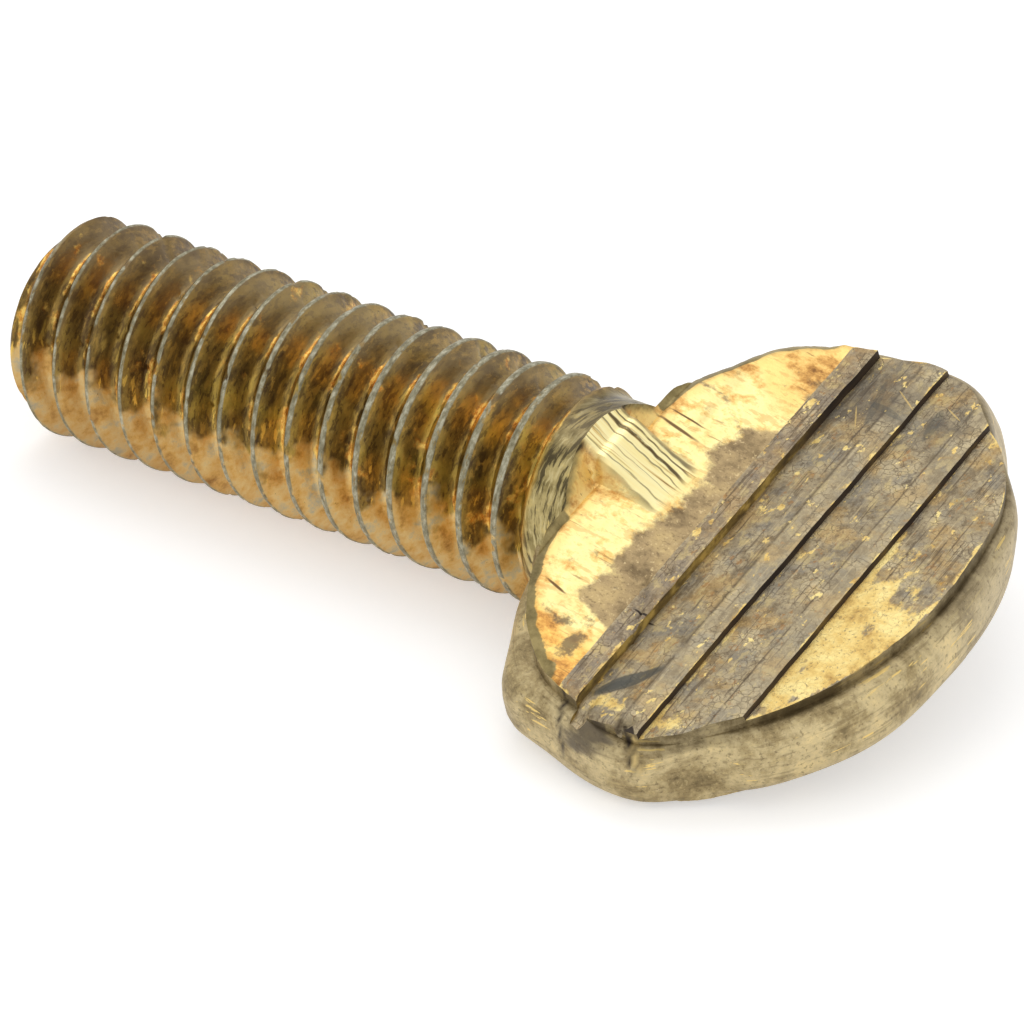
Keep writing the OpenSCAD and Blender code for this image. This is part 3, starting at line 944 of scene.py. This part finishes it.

# %% [markdown]
# ## Numbers for the finishes
# The finishes read a few numbers at each point of the mesh. They are worked out from where the point lies: how
# deep in the groove, how far round to the underside, how near a rubbed edge, how much in each zone of wear or
# tarnish, and where light and shade are painted. A zone is a smooth step, a `bell` or a `hump`, broken up by
# `grain`.

# %% Numbers for thread and neck
mesh = screw.data
count = len(mesh.vertices)
spots = np.zeros(count * 3)
mesh.vertices.foreach_get("co", spots)
x, y, z = spots.reshape(-1, 3).T
radius_at = np.hypot(y, z)
phi = np.arctan2(z, y)
round_degrees = np.degrees(phi)
down_angle = -math.pi / 2 - REST_ROLL
crest_turn = (x - FIRST_CREST) / PITCH - (phi - CREST_ANGLE) / math.tau
saw = (crest_turn - np.round(crest_turn)) * PITCH
fade = smooth((THREAD_END + 1.0 - x) / 0.5)
# the painted glints lie on the flanks facing the tip, most at two angles round the screw where light falls
flank_to_tip = np.maximum(smooth((-saw - 0.1) / 0.12), smooth((saw - 0.56) / 0.1)) * fade
lit_share = 0.15 + 0.7 * bell(round_degrees - 100, 15) + 0.45 * bell(round_degrees - 160, 18)
numbers = {
    "groove": np.clip((THREAD_R - radius_at) / ROOT_DEPTH, 0, 1),
    "under": np.cos(phi - down_angle) * np.where(x < 0.02, radius_at / THREAD_R, 1),
    "glint": flank_to_tip * (x > 0.05) * lit_share,
    "neck": smooth((x - THREAD_END - 0.5) / 0.2),
    "runout": bell(x - THREAD_END - 0.35 - 0.35 * np.sin(phi - 1.9), 0.09) * (x < 23) * (radius_at > 3),
}
print("thread and neck:", ", ".join(numbers))

# %% [markdown]
# Tarnish starts in an uneven line on the cheeks, short of the first rib, and the edge of the face and the far
# ends are darker gold. The boss has two numbers: how much a point belongs to it, and how far it lies from the
# boss's middle, which its dark lines follow.

# %% Numbers for cheeks and boss
face_gap = inside(x, y, UPPER_FLAWS)
middle, half_width = boss_sides(x)
boss_off = np.sign(z) * (y - middle * np.sign(z))
on_boss = smooth((half_width + 0.15 - np.abs(boss_off)) / 0.25)
on_boss = on_boss * (x > NECK_END - 0.3) * smooth((26.0 - x) / 0.6)
tarnish_start = 25.7 + 0.35 * grain(y, 0, 1.1, 71) + 0.12 * grain(y, 0, 0.3, 73)
tarnish_start = tarnish_start + 1.4 * smooth((np.abs(y + 1) - 4.6) / 0.8)
tarnish = smooth((x - tarnish_start + 0.55) / 1.3) * (x > 24.5)
arc = np.abs(np.hypot(x - 24.2, y - 3.0) - 1.7 - 0.2 * grain(x, y, 0.7, 75))
skin = smooth((0.42 - face_gap + 0.08 * grain(x, y, 0.5, 77)) / 0.2) * smooth((CHEEK_FOOT - x) / 0.8)
gilt = np.maximum(smooth((-6.2 - y + grain(x, y, 0.9, 91)) / 1.2), 0.6 * smooth((0.9 - face_gap) / 0.6))
flat_top = np.interp(x, rib_line[:, 0], rib_line[:, 1])
shoulder = smooth((0.32 - NECK_R + radius_at) / 0.2) * smooth((np.abs(z) - flat_top - 0.05) / 0.1)
numbers |= {
    "boss": on_boss,
    "boss_off": boss_off,
    "tarnish": np.maximum(tarnish, 0.55 * smooth((0.22 - arc) / 0.2) * (y > 2.5)),
    "skin": skin * smooth((np.abs(y) - 2.5) / 0.7),
    "gilt": np.maximum(gilt, 0.7 * smooth((y - 5.0 + grain(x, y, 1.0, 93)) / 1.5)),
    "shoulder": shoulder * (1 - on_boss) * (x > NECK_END - 0.5) * (x < NECK_END + 1.5),
    "cheek_smudge": np.maximum(hump(x, y, (26.4, -7.5), (0.35, 0.9)), hump(x, y, (25.7, -6.8), (0.5, 0.25))),
}
print("cheeks and boss added:", len(numbers), "numbers")

# %% [markdown]
# The ribs are bare along their edges, at the foot of the second and third steep side, and in one large patch
# at the free end on the near side.

# %% Numbers for the ribs
on_top = z > 0.9
edge_near = np.min([np.abs(x - edge) for edge in RIB_EDGES], axis=0)
rubbed_edge = 0.55 * bell(edge_near, 0.1) * (np.abs(z) > HALF - 0.1) * smooth(grain(y, x, 0.5, 47) + 0.4)
rubbed_lip = 0.8 * bell(face_gap, 0.06) * (np.abs(z) > 1.2) * smooth(grain(x, y, 0.7, 53) + 0.45)
patch = (face_gap > 0.01) * smooth((x - 33.25) / 0.05) * smooth((1.5 - y + 2 * grain(x, y, 1.2, 41)) / 2.5)
patch = patch * smooth(0.85 + 0.5 * grain(x * 1.5, y, 0.8, 43))
patch += 0.6 * hump(x, y, (28.9, -9.0), (0.8, 0.4)) + 0.6 * hump(x, y, (31.3, -9.1), (0.7, 0.35))
third_foot = bell(x - RIB_EDGES[2] - 0.12, 0.1) * smooth((y + 7) / 2) * smooth((2.5 - y) / 1)
second_foot = bell(x - RIB_EDGES[1] - 0.12, 0.1) * smooth((-1 - y) / 3) * smooth(grain(y, x, 0.7, 49) + 0.6)
land_start = np.min([np.abs(x - start) for start in land_starts[1:]], axis=0)
stain = np.maximum(hump(x, y, (29.2, 7.0), (1.5, 2.2)), 0.8 * hump(x, y, (31.8, 6.8), (1.1, 1.8)))
numbers |= {
    "worn": np.clip(rubbed_edge + rubbed_lip + (patch + third_foot + 0.8 * second_foot) * on_top, 0, 1),
    "land": np.max([smooth((x - edge + RIB_LAND) / 0.05 + 0.5) * (x < edge + 0.02) for edge in RIB_EDGES[1:]],
                   axis=0),
    "land_line": bell(land_start, 0.035),
    "first_land": smooth((RIB_EDGES[0] - x) / 0.05 + 0.5) * smooth((x - CHEEK_FOOT) / 0.1),
    "stain": 0.8 * stain * on_top,
    "olive": (np.abs(x - RIB_EDGES[0]) < 0.4) * smooth((6 - y) / 4),
}
print("ribs added:", len(numbers), "numbers")

# %% [markdown]
# On the rim, a crack and a bright sliver with a painted shadow beside it run down from the damaged corner. `flow`
# gives the way round the rim, the height and the distance from the face, which the rim's streaks follow.

# %% Numbers for the rim
RIM_RADIUS = 9.5
on_rim = face_gap < 0.02
near_rim = (y < -9.7) * (z > 0.1) * on_rim
sliver = x - 30.5 - 0.3 * (1.1 - z)
crack = bell(x - 27.35 - 0.25 * (1.2 - z), 0.09) * (z > -0.4) * (y < -9) * on_rim
# the painted shadow under the face's edge, on the rim and on the wall of the face
gutter_shadow = (0.5 * bell(face_gap, 0.2) + 0.4 * bell(face_gap, 0.5)) * (z > 0.7)
numbers |= {
    "rim_smudge": hump(x, y, (28.7, -10.1), (1.2, 0.5)) * on_rim * (z > 0),
    "rim_crack_and_shadow": np.maximum(crack, bell(sliver + 0.16, 0.07) * near_rim),
    "sliver": bell(sliver, 0.07) * near_rim,
    "gutter_shadow": gutter_shadow * (0.35 + 0.65 * smooth((x - 26.5) / 1.5)),
    # the rim's right side, where light is painted
    "right_side_light": smooth((y + 3.0) / 5.0) * (x > 30),
}
for name, values in numbers.items():
    mesh.attributes.new(name, "FLOAT", "POINT").data.foreach_set("value", values.astype(np.float32))
round_rim = np.column_stack([np.arctan2(y, x - WING_X) * RIM_RADIUS, z, face_gap])
flow_data = mesh.attributes.new("flow", "FLOAT_VECTOR", "POINT").data
flow_data.foreach_set("vector", round_rim.astype(np.float32).ravel())
print(len(numbers), "numbers stored at", count, "points")

# %% [markdown]
# ## Lay the screw down
# The finished mesh is rolled about its axis until it rests on its thread and one wing, and moved so that the end
# of its thread is at the origin. This goes into the mesh itself, and the object stays at the origin. Edges
# that turn sharply are marked, so that the rest shades smoothly, and the end of the tip is left flat.

# %% Lay the screw down
rest = Matrix.Translation((low.x, 0, 0)) @ Matrix.Rotation(REST_ROLL, 4, "X") @ Matrix.Scale(MM, 4)
mesh.transform(rest)
mesh.polygons.foreach_set("use_smooth", [True] * len(mesh.polygons))
mesh.set_sharp_from_angle(angle=math.radians(38))
for face in mesh.polygons:
    on_tip = max(mesh.vertices[v].co.x for v in face.vertices) < low.x + 0.02 * MM
    if on_tip:
        face.use_smooth = False
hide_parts("thumb_screw")
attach(screw, "root")
triangles = sum(len(p.vertices) - 2 for p in mesh.polygons)
print("screw:", triangles, "triangles, lowest point", round(min(v.co.z for v in mesh.vertices) / MM, 3), "mm")


# %% [markdown]
# ## Floor
# The floor is white to the camera and to reflections, through a little glow that lights nothing else, and it
# still takes the screw's shadow.

# %% Floor
TABLE_REACH, TABLE_GREY, TABLE_GLOW = 3.0, 0.8, 0.45
floor_paint = bpy.data.materials.new("white_table")
tree = empty_tree(floor_paint)


def seen_directly(tree):
    """1 for what the camera, a reflection or a refraction sees."""
    path = add(tree, "ShaderNodeLightPath").outputs
    return maths("MAXIMUM", path["Is Camera Ray"],
                 maths("MAXIMUM", path["Is Glossy Ray"], path["Is Transmission Ray"]))


paint = add(tree, "ShaderNodeBsdfDiffuse", {"Color": (TABLE_GREY,) * 3 + (1,)})
lit = add(tree, "ShaderNodeEmission", {"Strength": maths("MULTIPLY", seen_directly(tree), TABLE_GLOW)})
both = add(tree, "ShaderNodeAddShader", {0: paint.outputs[0], 1: lit.outputs[0]})
add(tree, "ShaderNodeOutputMaterial", {"Surface": both.outputs[0]})
floor_mesh = bpy.data.meshes.new("table")
corners = [(-1, -1), (1, -1), (1, 1), (-1, 1)]
floor_mesh.from_pydata([(a * TABLE_REACH, b * TABLE_REACH, low.z) for a, b in corners], [], [(0, 1, 2, 3)])
floor_mesh.materials.append(floor_paint)
table = link("table", floor_mesh)
print("table at", round(low.z / MM, 2), "mm")

# %% [markdown]
# ## World and lamps
# The background is white to the camera and to reflections, and a little dimmer as a light. Two wide lamps add
# soft shading, at a level at which a colour looks about as it is written.

# %% World and lamps
world = bpy.data.worlds.new("studio")
bpy.context.scene.world = world
tree = empty_tree(world)
dim = add(tree, "ShaderNodeBackground", {"Color": (1, 1, 1, 1), "Strength": 0.75})
white = add(tree, "ShaderNodeBackground", {"Color": (1, 1, 1, 1), "Strength": 1.0})
view = add(tree, "ShaderNodeMixShader", {0: seen_directly(tree), 1: dim.outputs[0], 2: white.outputs[0]})
add(tree, "ShaderNodeOutputWorld", {"Surface": view.outputs[0]})


def soft_lamp(name, place, width, power):
    """A round lamp that faces the screw."""
    lamp = bpy.data.lights.new(name, "AREA")
    lamp.shape, lamp.size, lamp.energy = "DISK", width, power
    holder = link(name, lamp)
    holder.location = place
    holder.rotation_euler = (Vector((0, 0, 0)) - Vector(place)).to_track_quat("-Z", "Y").to_euler()


soft_lamp("overhead_soft_box", (-0.10, 0.10, 0.35), 0.25, 0.20)
soft_lamp("side_soft_box", (0.25, -0.25, 0.22), 0.2, 0.12)
print("2 soft lamps")

# %% [markdown]
# ## Camera
# It looks down over the near wing towards the tip, through a long lens. Its place is given along its own
# directions, from the first crest of the thread, in the frame of the screw before it is rolled.

# %% Camera
right, down = Vector((0.825, 0.550, -0.132)), Vector((0.292, -0.613, -0.734))
away = Vector((-0.485, 0.567, -0.666))
TO_THE_RIGHT, BELOW, BACK = 13.64, 6.07, 243.2
SENSOR, FOCAL_TO_WIDTH = 36.0, 6.8359375
roll = Matrix.Rotation(REST_ROLL, 3, "X")
eye = Vector((FIRST_CREST - THREAD_END, 0, 0)) + TO_THE_RIGHT * right + BELOW * down - BACK * away
lens = bpy.data.cameras.new("camera")
lens.sensor_width, lens.lens = SENSOR, SENSOR * FOCAL_TO_WIDTH
lens.clip_start, lens.clip_end = 0.01, 20.0
camera = link("camera", lens)
axes = Matrix([roll @ right.normalized(), roll @ -down.normalized(), roll @ -away.normalized()]).transposed()
camera.matrix_world = Matrix.Translation(roll @ eye * MM) @ axes.to_4x4()
bpy.context.scene.camera = camera
bpy.context.scene.view_settings.view_transform = "Standard"
print("camera", [round(c / MM, 1) for c in camera.location], "mm")
